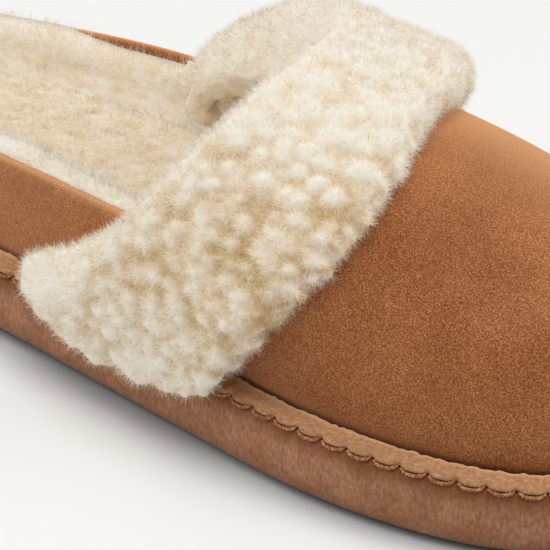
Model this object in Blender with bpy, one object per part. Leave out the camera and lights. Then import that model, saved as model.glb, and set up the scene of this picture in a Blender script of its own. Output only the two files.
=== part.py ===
"""Sheepskin mule slipper for the right foot: sole, welt, upper, cuff and insole as closed solids.

Metres, +Z up. The toe points to +X, the outer (lateral) side of the foot is at -Y, and the sole
stands on z = 0. Every piece is worked out from one outline of the sole and one surface of the last.
"""
import bmesh
import bpy
import numpy as np

for old in list(bpy.data.objects):
    bpy.data.objects.remove(old)

MM = 0.001

# Driving sizes; a station is a place along the foot, 0 at the back of the heel and 1 at the toe
LENGTH = 266 * MM
HEEL_RADIUS = 40 * MM
TOE_RADIUS = 34 * MM
SOLE_HEEL = 18.4 * MM
SOLE_TOE = 15.1 * MM
WALL = 2.0 * MM
GAP = 0.3 * MM

# The origin is under the middle of the whole object's box
ORIGIN_X = LENGTH / 2
ORIGIN_Y = -3.6 * MM

# Underside of the sole: stations where each lift starts and ends
TOE_SPRING = 4 * MM
SPRING_FROM, SPRING_TO = 0.84, 1.02
SPRING_POWER = 1.5
ARCH_LIFT = 1.5 * MM
ARCH_HEEL_FROM, ARCH_HEEL_TO = 0.26, 0.41
ARCH_BALL_FROM, ARCH_BALL_TO = 0.57, 0.45
ARCH_LATERAL_SHARE = 0.3
ARCH_LATERAL_Y, ARCH_MEDIAL_Y = -20 * MM, 30 * MM

# Half widths of the sole in mm, a row for each section across the foot
OUTLINE = np.array([
    # station  lateral  medial
    (0.05, 27.7, 25.2),
    (0.14, 36.6, 33.0),
    (0.28, 38.2, 39.2),
    (0.44, 43.2, 41.0),
    (0.58, 47.6, 43.0),
    (0.70, 50.9, 47.0),
    (0.82, 48.4, 45.8),
    (0.92, 37.2, 37.0),
    (0.975, 20.8, 23.0),
])

# Side of the sole from the floor up: inset from the outline in mm, and share of the height
SOLE_SIDE = np.array([
    # inset  up
    (9.0, 0.00),
    (4.2, 0.00),
    (1.9, 0.07),
    (0.7, 0.19),
    (0.1, 0.38),
    (0.0, 0.62),
    (0.1, 0.84),
    (0.5, 0.96),
    (1.3, 1.00),
    (9.0, 1.00),
])

# Section of the welt as shares of its width and its rise, from the lip at the outline inwards
WELT_WIDTH = 4.6 * MM
WELT_RISE = 2.0 * MM
WELT_LIP = 0.5 * MM
WELT_SECTION = np.array([
    # inward  up
    (0.0, 0.00),
    (0.0, 0.40),
    (0.5, 0.72),
    (1.0, 1.00),
    (1.0, 0.00),
])

# The last over the foot: height of its ridge above the floor and its shift to the medial side, in mm
RIDGE = np.array([
    # station  height  sideways
    (0.00, 68.0, 0.0),
    (0.30, 69.0, 0.0),
    (0.45, 68.5, 0.0),
    (0.55, 67.0, 0.5),
    (0.65, 64.0, 1.5),
    (0.75, 59.0, 2.0),
    (0.85, 52.0, 2.0),
    (0.95, 42.0, 1.5),
    (1.00, 36.0, 1.0),
])

# Shape of the last's sections from the feather line up to the ridge, as shares: how far they stay
# upright, how far they stay level at the ridge, and how far they lean in at the foot
SECTION = np.array([
    # station  rise  crown  flare
    (0.00, 0.90, 0.85, 0.04),
    (0.30, 0.90, 0.85, 0.04),
    (0.45, 0.76, 0.70, 0.02),
    (0.60, 0.66, 0.60, 0.00),
    (0.75, 0.64, 0.58, 0.00),
    (0.90, 0.64, 0.60, 0.00),
    (1.00, 0.64, 0.60, 0.00),
])
SPINE_BACK = 0.20
SPINE_FRONT = 0.86

# Heel wall above the sole, rising from the back of the heel to a station on the sides
HEEL_WALL_BACK = 19.8 * MM
HEEL_WALL_SIDE = 24.6 * MM
HEEL_WALL_RISE_TO = 0.45

# Throat of the upper as stations on the outline: where it leaves the heel wall, and at the ridge
THROAT_LATERAL = 0.525
THROAT_MEDIAL = 0.390
THROAT_RIDGE = 0.598
THROAT_POWER = 1.6

# Fleece footbed above the sole, thinner from the first station to the second
FOOTBED_HEEL = 12.5 * MM
FOOTBED_TOE = 10.0 * MM
FOOTBED_THIN_FROM, FOOTBED_THIN_TO = 0.30, 0.90

# The cuff over the arch of the foot: across is -1 at the lateral hem, 0 at the ridge, 1 at the medial
# hem; back and front are its edges as stations on the outline, depth is its pile in mm
CUFF = np.array([
    # across  back   front  depth
    (-1.00, 0.418, 0.640, 11.0),
    (-0.85, 0.470, 0.680, 12.0),
    (-0.73, 0.508, 0.704, 12.5),
    (-0.50, 0.548, 0.734, 13.0),
    (-0.25, 0.566, 0.744, 13.5),
    (0.00, 0.560, 0.734, 13.5),
    (0.25, 0.508, 0.692, 13.0),
    (0.50, 0.436, 0.646, 12.5),
    (0.73, 0.372, 0.608, 12.0),
    (0.85, 0.345, 0.590, 12.0),
    (1.00, 0.315, 0.570, 11.0),
])

# Levels through the cuff, from the upper outwards: height over the upper in mm, rise of the hem over
# the feather line as a share of the section, and how far the cut edges bulge in mm
CUFF_LEVELS = np.array([
    # over  hem    bulge
    (0.3, 0.035, 0.0),
    (5.7, 0.022, 2.0),
    (8.5, -0.045, 2.4),
    (11.0, -0.010, 0.6),
])
CUFF_STEPS_ACROSS = 52
CUFF_STEPS_ALONG = 16
CUFF_REACH = 105 * MM
CUFF_DOME = 0.16
DOME_POWER = 6

# Hem of the cuff as shares of a section: lifted at its corners, and dropped in its middle
HEM_CORNER_LIFT = 0.09
HEM_CORNER_POWER = 3
HEM_MIDDLE_DROP = 0.035

# Roll of the cuff behind the throat: how deep it goes, the shares of the throat over which it grows,
# the row of the lattice that ends it, and its clearances to the throat edge and the cuff's back
CUFF_ROLL = 8.0 * MM
ROLL_FROM, ROLL_TO = 0.05, 0.30
THROAT_STEP = 3
THROAT_CLEAR = 0.6 * MM
ROLL_CLEAR = 1.6 * MM
ROLL_INSET = 1.5 * MM

# Locks of fleece on the cuff, on a lattice of triangles; jitter and spread are shares of the pitch
LOCK_PITCH = 9.0 * MM
LOCK_HEIGHT = 2.4 * MM
LOCK_JITTER = 0.22
LOCK_SPREAD = 0.62
LOCK_SEED = 7

# Steps of the meshes, and the small turn used for slopes
AROUND = 96
WALL_ROWS = 4
VAMP_ROWS = 8
BAR_STEPS = 6
HALVINGS = 40
SMALL = 1e-4


def through(at, table, column):
    """Cubic curve through one column of a table, over its first column, with central slopes."""
    places, values = table[:, 0], table[:, column]
    slopes = np.gradient(values, places)
    at = np.clip(at, places[0], places[-1])
    i = np.clip(np.searchsorted(places, at) - 1, 0, len(places) - 2)
    gap = places[i + 1] - places[i]
    t = (at - places[i]) / gap
    start = (1 + 2 * t) * (1 - t) ** 2 * values[i] + t * (1 - t) ** 2 * gap * slopes[i]
    end = t ** 2 * (3 - 2 * t) * values[i + 1] + t ** 2 * (t - 1) * gap * slopes[i + 1]
    return start + end


def smooth_loop(angles, values):
    """Periodic cubic spline through values at rising angles; returns a function of the angle."""
    count = len(angles)
    step = np.diff(np.append(angles, angles[0] + 2 * np.pi))
    system = np.zeros((count, count))
    right = np.zeros(count)
    for i in range(count):
        after = (i + 1) % count
        system[i, i - 1] += step[i - 1]
        system[i, i] += 2 * (step[i - 1] + step[i])
        system[i, after] += step[i]
        right[i] = 6 * ((values[after] - values[i]) / step[i] - (values[i] - values[i - 1]) / step[i - 1])
    bend = np.linalg.solve(system, right)

    def at(angle):
        angle = np.mod(angle, 2 * np.pi)
        i = np.clip(np.searchsorted(angles, angle, side="right") - 1, 0, count - 1)
        after = (i + 1) % count
        a = (angles[i] + step[i] - angle) / step[i]
        b = 1 - a
        cubic = (a ** 3 - a) * bend[i] + (b ** 3 - b) * bend[after]
        return a * values[i] + b * values[after] + cubic * step[i] ** 2 / 6

    return at


def make_half_width():
    """Half width of the sole divided by the sine of its angle, as a smooth loop around the sole."""
    angle = np.arccos(1 - 2 * OUTLINE[:, 0])
    lateral = OUTLINE[:, 1] * MM / np.sin(angle)
    medial = OUTLINE[:, 2] * MM / np.sin(angle)
    heel = np.sqrt(HEEL_RADIUS * LENGTH / 2)
    toe = np.sqrt(TOE_RADIUS * LENGTH / 2)
    angles = np.concatenate([[0], angle, [np.pi], 2 * np.pi - angle[::-1]])
    values = np.concatenate([[heel], lateral, [toe], medial[::-1]])
    return smooth_loop(angles, values)


half_width = make_half_width()


def outline(u, inset=0.0):
    """Plan of the sole at angle u (0 at the heel, pi at the toe, lateral side first), set in by inset."""
    def edge(angle):
        x = LENGTH / 2 * (1 - np.cos(angle))
        return np.stack([x, -half_width(angle) * np.sin(angle)], axis=-1)

    along = edge(u + SMALL) - edge(u - SMALL)
    along /= np.linalg.norm(along, axis=-1, keepdims=True)
    inward = np.stack([-along[..., 1], along[..., 0]], axis=-1)
    return edge(u) + inward * np.asarray(inset)[..., None]


def sole_top(x):
    """Height of the sole's top: a straight wedge from heel to toe."""
    return SOLE_HEEL + (SOLE_TOE - SOLE_HEEL) * x / LENGTH


def smoothstep(low, high, value):
    """Soft step from 0 at low to 1 at high."""
    t = np.clip((value - low) / (high - low), 0, 1)
    return t * t * (3 - 2 * t)


def sole_bottom(x, y):
    """Height of the sole's underside: flat at heel and forefoot, lifted at the arch and the toe."""
    station = x / LENGTH
    toe = TOE_SPRING * smoothstep(SPRING_FROM, SPRING_TO, station) ** SPRING_POWER
    heel_side = smoothstep(ARCH_HEEL_FROM, ARCH_HEEL_TO, station)
    ball_side = smoothstep(ARCH_BALL_FROM, ARCH_BALL_TO, station)
    medial = smoothstep(ARCH_LATERAL_Y, ARCH_MEDIAL_Y, y)
    share = ARCH_LATERAL_SHARE + (1 - ARCH_LATERAL_SHARE) * medial
    return toe + ARCH_LIFT * heel_side * ball_side * share


def last(u, v, offset=0.0):
    """Surface of the last at angle u around the sole and share v up to the ridge, moved out by offset.

    A section runs from the feather line to the spine as a cubic Bezier: upright at the feather line
    (rise, and flare outwards), level at the ridge (crown), scaled to the ridge height at its own x.
    """
    def point(u, v):
        foot = outline(u, WELT_WIDTH + 2 * GAP)
        station = (1 - np.cos(u)) / 2
        spine = SPINE_BACK + (SPINE_FRONT - SPINE_BACK) * station
        rise = through(station, SECTION, 1)
        crown = through(station, SECTION, 2)
        flare = through(station, SECTION, 3)
        a = 3 * v * (1 - v) ** 2
        b = 3 * v ** 2 * (1 - v)
        inward = a * flare + b * (1 - crown) + v ** 3
        upward = a * rise + b + v ** 3
        x = foot[..., 0] + (spine * LENGTH - foot[..., 0]) * inward
        middle = through(spine, RIDGE, 2) * MM
        y = foot[..., 1] + (middle - foot[..., 1]) * inward
        base = sole_top(foot[..., 0]) + GAP
        z = base + (through(x / LENGTH, RIDGE, 1) * MM - base) * upward
        return np.stack([x, y, z], axis=-1)

    u, v = np.broadcast_arrays(np.asarray(u, float), np.asarray(v, float))
    inside = np.minimum(v, 1 - 2 * SMALL)
    across = point(u, inside + SMALL) - point(u, inside)
    along = point(u + SMALL, inside) - point(u - SMALL, inside)
    normal = np.cross(along, across)
    normal /= np.linalg.norm(normal, axis=-1, keepdims=True)
    return point(u, v) + normal * np.asarray(offset)[..., None]


def share_at_height(u, height, offset=0.0):
    """Share v at which the last, moved out by offset, stands at the given height; by halving."""
    low = np.zeros_like(u)
    high = np.ones_like(u)
    for _ in range(HALVINGS):
        middle = (low + high) / 2
        below = last(u, middle, offset)[..., 2] < height
        low = np.where(below, middle, low)
        high = np.where(below, high, middle)
    return (low + high) / 2


def angle_of(station):
    """Angle on the lateral side of the outline at a station; the medial one is its negative."""
    return np.arccos(1 - 2 * station)


def solid(name, vertices, faces, colour, roughness):
    """One named object from welded vertices and faces, with its own Principled material."""
    shape = bmesh.new()
    made = [shape.verts.new(p) for p in np.asarray(vertices) - (ORIGIN_X, ORIGIN_Y, 0)]
    for face in faces:
        corners = [made[i] for i in dict.fromkeys(face)]
        if len(corners) > 2:
            shape.faces.new(corners)
    bmesh.ops.delete(shape, geom=[v for v in shape.verts if not v.link_faces], context="VERTS")
    bmesh.ops.triangulate(shape, faces=shape.faces[:])
    bmesh.ops.recalc_face_normals(shape, faces=shape.faces[:])
    mesh = bpy.data.meshes.new(name)
    shape.to_mesh(mesh)
    shape.free()
    material = bpy.data.materials.new(name)
    material.use_nodes = True
    shader = material.node_tree.nodes["Principled BSDF"]
    shader.inputs["Base Color"].default_value = (*colour, 1)
    shader.inputs["Roughness"].default_value = roughness
    mesh.materials.append(material)
    bpy.context.collection.objects.link(bpy.data.objects.new(name, mesh))


def grid_faces(index, wrap=False):
    """Quads of a grid of vertex numbers; wrap closes its columns into a ring."""
    following = np.roll(index, -1, axis=1)
    columns = index.shape[1] if wrap else index.shape[1] - 1
    quads = np.stack([index[:-1], following[:-1], following[1:], index[1:]], axis=-1)
    return quads[:, :columns].reshape(-1, 4).tolist()


def bars(ring, inner):
    """Grid across a ring: each row joins the lateral and medial vertex of a section, inner between."""
    half = len(ring) // 2
    rows = []
    for i in range(1, half):
        rows.append([ring[i], *inner[i - 1], ring[-i]])
    faces = grid_faces(np.array(rows))
    for end, row in ((ring[0], rows[0]), (ring[half], rows[-1])):
        faces += [[end, row[j], row[j + 1]] for j in range(len(row) - 1)]
    return faces


turn = np.arange(AROUND) * 2 * np.pi / AROUND


def cap(points, ring, height, start):
    """Vertices and faces that close a ring with bars; height gives z from the bar's plan."""
    half = len(ring) // 2
    share = np.arange(1, BAR_STEPS) / BAR_STEPS
    lateral = points[1:half]
    medial = points[:half:-1]
    inner = lateral[:, None] + (medial - lateral)[:, None] * share[:, None]
    inner[..., 2] = height(inner[..., 0], inner[..., 1])
    number = start + np.arange(inner.shape[0] * inner.shape[1]).reshape(inner.shape[:2])
    return inner.reshape(-1, 3), bars(ring, number)


def make_sole():
    """Wrapped platform: the side profile carried around the outline, closed by bars above and below."""
    rings = []
    for inset, up in SOLE_SIDE:
        plan = outline(turn, inset * MM)
        low = sole_bottom(plan[:, 0], plan[:, 1])
        z = low + (sole_top(plan[:, 0]) - low) * up
        rings.append(np.column_stack([plan, z]))
    vertices = np.concatenate(rings)
    index = np.arange(len(vertices)).reshape(len(rings), AROUND)
    faces = grid_faces(index, wrap=True)
    under, under_faces = cap(rings[0], index[0], sole_bottom, len(vertices))
    vertices = np.concatenate([vertices, under])
    over, over_faces = cap(rings[-1], index[-1], lambda x, y: sole_top(x), len(vertices))
    vertices = np.concatenate([vertices, over])
    solid("sole", vertices, faces + under_faces + over_faces, (0.27, 0.13, 0.08), 0.9)


def make_welt():
    """Leather strip on the shoulder of the sole, sloping up to the foot of the upper."""
    rings = []
    for inward, up in WELT_SECTION:
        plan = outline(turn, WELT_LIP + (WELT_WIDTH + GAP - WELT_LIP) * inward)
        rings.append(np.column_stack([plan, sole_top(plan[:, 0]) + GAP + WELT_RISE * up]))
    index = np.arange(len(rings) * AROUND).reshape(len(rings), AROUND)
    index = np.vstack([index, index[:1]])
    solid("welt", np.concatenate(rings), grid_faces(index, wrap=True), (0.35, 0.19, 0.10), 0.8)


def wall_top(u):
    """Height of the heel wall's top edge above the floor, a little lower at the back."""
    station = (1 - np.cos(u)) / 2
    rise = smoothstep(0, HEEL_WALL_RISE_TO, station)
    return sole_top(station * LENGTH) + HEEL_WALL_BACK + (HEEL_WALL_SIDE - HEEL_WALL_BACK) * rise


def throat(share, corner):
    """Station of the throat edge at a share of its way from the heel wall's top to the ridge."""
    return corner + (THROAT_RIDGE - corner) * (1 - (1 - share) ** THROAT_POWER)


def make_upper():
    """Hollow shell of the last: heel wall all round, vamp from the throat to the toe, one wall thick."""
    toward_toe = np.linspace(0, 1, AROUND // 4 + 1)
    rows = np.linspace(0, 1, VAMP_ROWS + 1)[:, None]
    lateral = angle_of(throat(rows, THROAT_LATERAL))
    medial = angle_of(throat(rows, THROAT_MEDIAL))
    lateral = lateral + (np.pi - lateral) * toward_toe
    medial = 2 * np.pi - medial - (np.pi - medial) * toward_toe
    vamp_u = np.hstack([lateral, medial[:, -2::-1]])
    columns = vamp_u.shape[1]
    heel_u = np.linspace(vamp_u[0, -1], 2 * np.pi + vamp_u[0, 0], AROUND // 2 - 1)[1:-1]
    around = np.concatenate([vamp_u[0], heel_u])
    top = share_at_height(around, wall_top(around))
    wall_share = np.linspace(0, 1, WALL_ROWS + 1)[:, None] * top
    vamp_share = top[:columns] + (1 - top[:columns]) * rows
    vertices = []
    faces = []

    def shell(offset):
        start = sum(len(part) for part in vertices)
        wall = last(around, wall_share, offset)
        wall[0, :, 2] = sole_top(wall[0, :, 0]) + GAP
        wall_index = start + np.arange(wall.shape[0] * wall.shape[1]).reshape(wall.shape[:2])
        vamp = last(vamp_u[1:], vamp_share[1:], offset)
        vamp_index = start + wall_index.size + np.arange(VAMP_ROWS * columns).reshape(VAMP_ROWS, columns)
        vamp_index[-1] = np.minimum(vamp_index[-1], vamp_index[-1][::-1])
        vertices.extend([wall.reshape(-1, 3), vamp.reshape(-1, 3)])
        return wall_index, np.vstack([wall_index[-1, :columns], vamp_index])

    def rim(wall_index, vamp_index):
        heel = wall_index[-1, columns - 1:].tolist() + [wall_index[-1, 0]]
        edge = vamp_index[1:, 0].tolist() + vamp_index[-2:0:-1, -1].tolist()
        return heel + edge

    outer = shell(0.0)
    inner = shell(-WALL)
    for wall_index, vamp_index in (outer, inner):
        faces += grid_faces(wall_index, wrap=True) + grid_faces(vamp_index)
    faces += grid_faces(np.vstack([outer[0][0], inner[0][0]]), wrap=True)
    faces += grid_faces(np.array([rim(*outer), rim(*inner)]), wrap=True)
    solid("upper", np.concatenate(vertices), faces, (0.24, 0.10, 0.04), 0.9)


def footbed_top(x, y=0.0):
    """Height of the fleece footbed, a little thinner towards the toe."""
    thin = smoothstep(FOOTBED_THIN_FROM, FOOTBED_THIN_TO, x / LENGTH)
    return sole_top(x) + FOOTBED_HEEL + (FOOTBED_TOE - FOOTBED_HEEL) * thin


def make_insole():
    """Fleece footbed: fills the foot of the upper up to its own top, 0.3 mm clear of the wall."""
    inside = -WALL - GAP
    foot = last(turn, np.zeros_like(turn), inside)
    top = share_at_height(turn, footbed_top(foot[:, 0]), inside)
    rings = [last(turn, top * share, inside) for share in (0.0, 0.5, 1.0)]
    rings[0][:, 2] = sole_top(rings[0][:, 0]) + GAP
    vertices = np.concatenate(rings)
    index = np.arange(len(vertices)).reshape(len(rings), AROUND)
    faces = grid_faces(index, wrap=True)
    under, under_faces = cap(rings[0], index[0], lambda x, y: sole_top(x) + GAP, len(vertices))
    vertices = np.concatenate([vertices, under])
    over, over_faces = cap(rings[-1], index[-1], footbed_top, len(vertices))
    vertices = np.concatenate([vertices, over])
    solid("insole", vertices, faces + under_faces + over_faces, (0.76, 0.66, 0.47), 1.0)


def block_faces(index):
    """Quads of the six sides of a lattice of vertex numbers."""
    faces = []
    for axis in range(3):
        for end in (0, -1):
            faces += grid_faces(np.take(index, end, axis=axis))
    return faces


def locks(along, across):
    """Height of the locks of fleece at a place on the cuff: rounded tufts on a jittered lattice."""
    generator = np.random.default_rng(LOCK_SEED)
    reach = int(CUFF_REACH / LOCK_PITCH) + 3
    row, cell = np.meshgrid(np.arange(-reach, reach), np.arange(-1, reach), indexing="ij")
    centre = np.stack([cell + row % 2 / 2, row * np.sqrt(3) / 2], axis=-1).reshape(-1, 2)
    centre = (centre + generator.uniform(-LOCK_JITTER, LOCK_JITTER, centre.shape)) * LOCK_PITCH
    place = np.stack(np.broadcast_arrays(along, across), axis=-1)[..., None, :]
    distance = np.linalg.norm(place - centre, axis=-1).min(axis=-1)
    return LOCK_HEIGHT * np.clip(1 - (distance / (LOCK_SPREAD * LOCK_PITCH)) ** 2, 0, 1)


def make_cuff():
    """Turned-back fleece: a block over the upper's own surface, rolled down behind the throat edge."""
    across = np.linspace(-1, 1, CUFF_STEPS_ACROSS + 1)[None, :, None]
    along = np.linspace(0, 1, CUFF_STEPS_ALONG + 1)[:, None, None]
    over, hem, bulge = (CUFF_LEVELS[:, i][None, None, :] for i in range(3))
    back, front, depth = (through(across, CUFF, i) for i in (1, 2, 3))
    side = np.where(across > 0, -1.0, 1.0)

    # Share of the section at each place: 1 at the ridge, down to the hem on both sides
    from_middle = np.abs(2 * along - 1)
    lift = HEM_CORNER_LIFT * from_middle ** HEM_CORNER_POWER
    drop = HEM_MIDDLE_DROP * (1 - from_middle ** 2) * (hem < 0)
    hem = hem + lift - drop
    share = hem + (1 - hem) * (1 - np.abs(across))

    # Station at each place: even steps from back to front, with the two cut edges bulged out
    cut = np.where(along == 0, -1, 0) + np.where(along == 1, 1, 0)
    station = back + (front - back) * along + cut * bulge * MM / LENGTH

    # Height over the last: the levels as shares of the pile's depth, domed and tufted on the outside
    level = np.broadcast_to(over / CUFF_LEVELS[-1, 0] * depth * MM, station.shape).copy()
    dome = 1 - CUFF_DOME * from_middle ** DOME_POWER
    tuft = locks(along * (front - back) * LENGTH, across * CUFF_REACH)
    level[..., -1:] = level[..., -1:] * dome + tuft

    # The innermost level lies on the upper, and behind the throat edge it rolls down into the shoe
    corner = np.where(across > 0, THROAT_MEDIAL, THROAT_LATERAL)
    wall_share = share_at_height(side * angle_of(corner), wall_top(angle_of(corner)))
    rim_share = np.clip((share - wall_share) / (1 - wall_share), 0, 1)[..., :1]
    edge = throat(rim_share, corner) - THROAT_CLEAR / LENGTH
    roll = CUFF_ROLL * smoothstep(ROLL_FROM, ROLL_TO, rim_share)
    step = np.arange(CUFF_STEPS_ALONG + 1)[:, None, None]
    behind_from = back + ROLL_INSET / LENGTH
    behind_to = edge - (ROLL_CLEAR - THROAT_CLEAR) / LENGTH
    behind = behind_from + (behind_to - behind_from) * step / THROAT_STEP
    ahead = edge + (front - edge) * (step - THROAT_STEP - 1) / (CUFF_STEPS_ALONG - THROAT_STEP - 1)
    station[..., :1] = np.where(step <= THROAT_STEP, behind, ahead)
    level[..., :1] = np.where(step <= THROAT_STEP, GAP - roll, GAP)

    points = last(side * angle_of(station), np.clip(share, 0, 1), level)
    points[..., 2] += np.minimum(share, 0) * CUFF_REACH
    index = np.arange(points[..., 0].size).reshape(points.shape[:3])
    solid("cuff", points.reshape(-1, 3), block_faces(index), (0.82, 0.76, 0.64), 1.0)


make_sole()
make_welt()
make_upper()
make_insole()
make_cuff()
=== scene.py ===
"""Looks of the sheepskin mule slipper: suede, fleece, stitched welt and wrapped sole over its frame."""
import bmesh
import bpy
import numpy as np
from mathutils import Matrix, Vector


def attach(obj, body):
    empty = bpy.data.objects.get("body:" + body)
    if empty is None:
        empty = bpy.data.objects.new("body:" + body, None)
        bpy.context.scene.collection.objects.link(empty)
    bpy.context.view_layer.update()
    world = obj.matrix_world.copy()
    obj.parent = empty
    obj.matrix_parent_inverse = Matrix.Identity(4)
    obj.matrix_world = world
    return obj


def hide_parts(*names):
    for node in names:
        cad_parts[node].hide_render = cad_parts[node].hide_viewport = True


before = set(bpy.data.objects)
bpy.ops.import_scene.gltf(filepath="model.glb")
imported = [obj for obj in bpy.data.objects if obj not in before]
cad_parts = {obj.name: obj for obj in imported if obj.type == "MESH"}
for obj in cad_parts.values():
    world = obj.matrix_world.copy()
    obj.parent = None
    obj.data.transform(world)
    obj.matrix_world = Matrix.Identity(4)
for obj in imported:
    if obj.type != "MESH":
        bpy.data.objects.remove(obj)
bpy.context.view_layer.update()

# Sole
# The platform is a foam core in a wrap of brushed suede, drawn down over the side and turned under.
# Each section across the foot is one closed loop: up one side, over the top, down the other side, back.
MM = 0.001
LENGTH = 266 * MM
ORIGIN = np.array([LENGTH / 2, -3.6 * MM, 0])
HEEL_RADIUS = 40 * MM
TOE_RADIUS = 34 * MM
SOLE_HEEL = 18.4 * MM
SOLE_TOE = 15.1 * MM
SOLE_SECTIONS = 260
SOLE_BARS = 24
TOE_SPRING = 4 * MM
SPRING_FROM, SPRING_TO, SPRING_POWER = 0.84, 1.02, 1.5
ARCH_LIFT = 1.5 * MM
ARCH_HEEL_FROM, ARCH_HEEL_TO = 0.26, 0.41
ARCH_BALL_FROM, ARCH_BALL_TO = 0.57, 0.45
ARCH_LATERAL_SHARE = 0.3
ARCH_LATERAL_Y, ARCH_MEDIAL_Y = -20 * MM, 30 * MM
SMALL = 1e-4
WELD = 0.002 * MM

# Half widths of the sole in mm at stations along the foot, 0 at the back of the heel and 1 at the toe
OUTLINE = np.array([
    # station  lateral  medial
    (0.05, 27.7, 25.2),
    (0.14, 36.6, 33.0),
    (0.28, 38.2, 39.2),
    (0.44, 43.2, 41.0),
    (0.58, 47.6, 43.0),
    (0.70, 50.9, 47.0),
    (0.82, 48.4, 45.8),
    (0.92, 37.2, 37.0),
    (0.975, 20.8, 23.0),
])

# Side of the sole as it goes up from the floor: inset from the outline in mm over the share of height
SOLE_SIDE = np.array([
    # up  inset
    (0.00, 4.2),
    (0.03, 2.9),
    (0.08, 1.8),
    (0.19, 0.7),
    (0.38, 0.1),
    (0.62, 0.0),
    (0.84, 0.1),
    (0.96, 0.5),
    (1.00, 1.3),
])
SOLE_UP = np.array([0, 0.01, 0.03, 0.06, 0.1, 0.15, 0.22, 0.3, 0.4, 0.5, 0.6, 0.7, 0.8, 0.88, 0.94, 0.98, 1])


def through(at, table, column):
    """Cubic curve through one column of a table, over its first column, with central slopes."""
    places, values = table[:, 0], table[:, column]
    slopes = np.gradient(values, places)
    at = np.clip(at, places[0], places[-1])
    i = np.clip(np.searchsorted(places, at) - 1, 0, len(places) - 2)
    gap = places[i + 1] - places[i]
    t = (at - places[i]) / gap
    start = (1 + 2 * t) * (1 - t) ** 2 * values[i] + t * (1 - t) ** 2 * gap * slopes[i]
    end = t ** 2 * (3 - 2 * t) * values[i + 1] + t ** 2 * (t - 1) * gap * slopes[i + 1]
    return start + end


def smooth_loop(angles, values):
    """Periodic cubic spline through values at rising angles; returns a function of the angle."""
    count = len(angles)
    step = np.diff(np.append(angles, angles[0] + 2 * np.pi))
    before = np.roll(step, 1)
    slope = (np.roll(values, -1) - values) / step
    system = np.diag(2 * (before + step))
    here = np.arange(count)
    system[here, here - 1] += before
    system[here, (here + 1) % count] += step
    bend = np.linalg.solve(system, 6 * (slope - np.roll(slope, 1)))

    def at(angle):
        angle = np.mod(angle, 2 * np.pi)
        i = np.clip(np.searchsorted(angles, angle, side="right") - 1, 0, count - 1)
        after = (i + 1) % count
        a = (angles[i] + step[i] - angle) / step[i]
        b = 1 - a
        cubic = (a ** 3 - a) * bend[i] + (b ** 3 - b) * bend[after]
        return a * values[i] + b * values[after] + cubic * step[i] ** 2 / 6

    return at


def angle_of(station):
    """Angle on the lateral side of the outline at a station; the medial one is its negative."""
    return np.arccos(1 - 2 * station)


def station_of(angle):
    """Station at an angle on the outline, whichever its side."""
    return (1 - np.cos(angle)) / 2


outline_angle = angle_of(OUTLINE[:, 0])
half_width = smooth_loop(
    np.concatenate([[0], outline_angle, [np.pi], 2 * np.pi - outline_angle[::-1]]),
    np.concatenate([
        [np.sqrt(HEEL_RADIUS * LENGTH / 2)],
        OUTLINE[:, 1] * MM / np.sin(outline_angle),
        [np.sqrt(TOE_RADIUS * LENGTH / 2)],
        OUTLINE[::-1, 2] * MM / np.sin(outline_angle[::-1]),
    ]),
)


def unit(vectors):
    """Vectors of length one."""
    return vectors / np.linalg.norm(vectors, axis=-1, keepdims=True)


def outline(u, inset=0.0):
    """Plan of the sole at angle u (0 at the heel, pi at the toe, lateral side first), set in by inset."""
    def edge(angle):
        x = LENGTH * station_of(angle)
        return np.stack([x, -half_width(angle) * np.sin(angle)], axis=-1)

    along = unit(edge(u + SMALL) - edge(u - SMALL))
    inward = np.stack([-along[..., 1], along[..., 0]], axis=-1)
    return edge(u) + inward * np.asarray(inset)[..., None]


def sole_top(x):
    """Height of the sole's top: a straight wedge from heel to toe."""
    return SOLE_HEEL + (SOLE_TOE - SOLE_HEEL) * x / LENGTH


def smoothstep(low, high, value):
    """Soft step from 0 at low to 1 at high."""
    t = np.clip((value - low) / (high - low), 0, 1)
    return t * t * (3 - 2 * t)


def sole_bottom(x, y):
    """Height of the sole's underside: flat at heel and forefoot, lifted at the arch and the toe."""
    station = x / LENGTH
    toe = TOE_SPRING * smoothstep(SPRING_FROM, SPRING_TO, station) ** SPRING_POWER
    heel_side = smoothstep(ARCH_HEEL_FROM, ARCH_HEEL_TO, station)
    ball_side = smoothstep(ARCH_BALL_FROM, ARCH_BALL_TO, station)
    medial = smoothstep(ARCH_LATERAL_Y, ARCH_MEDIAL_Y, y)
    share = ARCH_LATERAL_SHARE + (1 - ARCH_LATERAL_SHARE) * medial
    return toe + ARCH_LIFT * heel_side * ball_side * share


def across_foot(lateral, medial, steps):
    """Points in straight bars from the lateral ones to the medial ones, both ends left out."""
    share = np.linspace(0, 1, steps + 1)[1:-1, None]
    return lateral[:, None] + (medial - lateral)[:, None] * share


def sole_surface():
    """Loops around the sections: side profile up, bars over the top, side profile down, bars under."""
    u = np.linspace(0, np.pi, SOLE_SECTIONS + 1)
    inset = through(SOLE_UP, SOLE_SIDE, 1) * MM
    sides = []
    for turn in (u, -u):
        plan = outline(turn[:, None], inset)
        low = sole_bottom(plan[..., 0], plan[..., 1])
        z = low + (sole_top(plan[..., 0]) - low) * SOLE_UP
        sides.append(np.concatenate([plan, z[..., None]], axis=-1))
    lateral, medial = sides
    over = across_foot(lateral[:, -1], medial[:, -1], SOLE_BARS)
    over[..., 2] = sole_top(over[..., 0])
    under = across_foot(medial[:, 0], lateral[:, 0], SOLE_BARS)
    under[..., 2] = sole_bottom(under[..., 0], under[..., 1])
    loop = np.concatenate([lateral, over, medial[:, ::-1], under, lateral[:, :1]], axis=1)
    up = np.concatenate([SOLE_UP, np.ones(SOLE_BARS - 1), SOLE_UP[::-1], np.zeros(SOLE_BARS)])
    return np.dstack([loop, np.broadcast_to(up, loop.shape[:2])])


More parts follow.
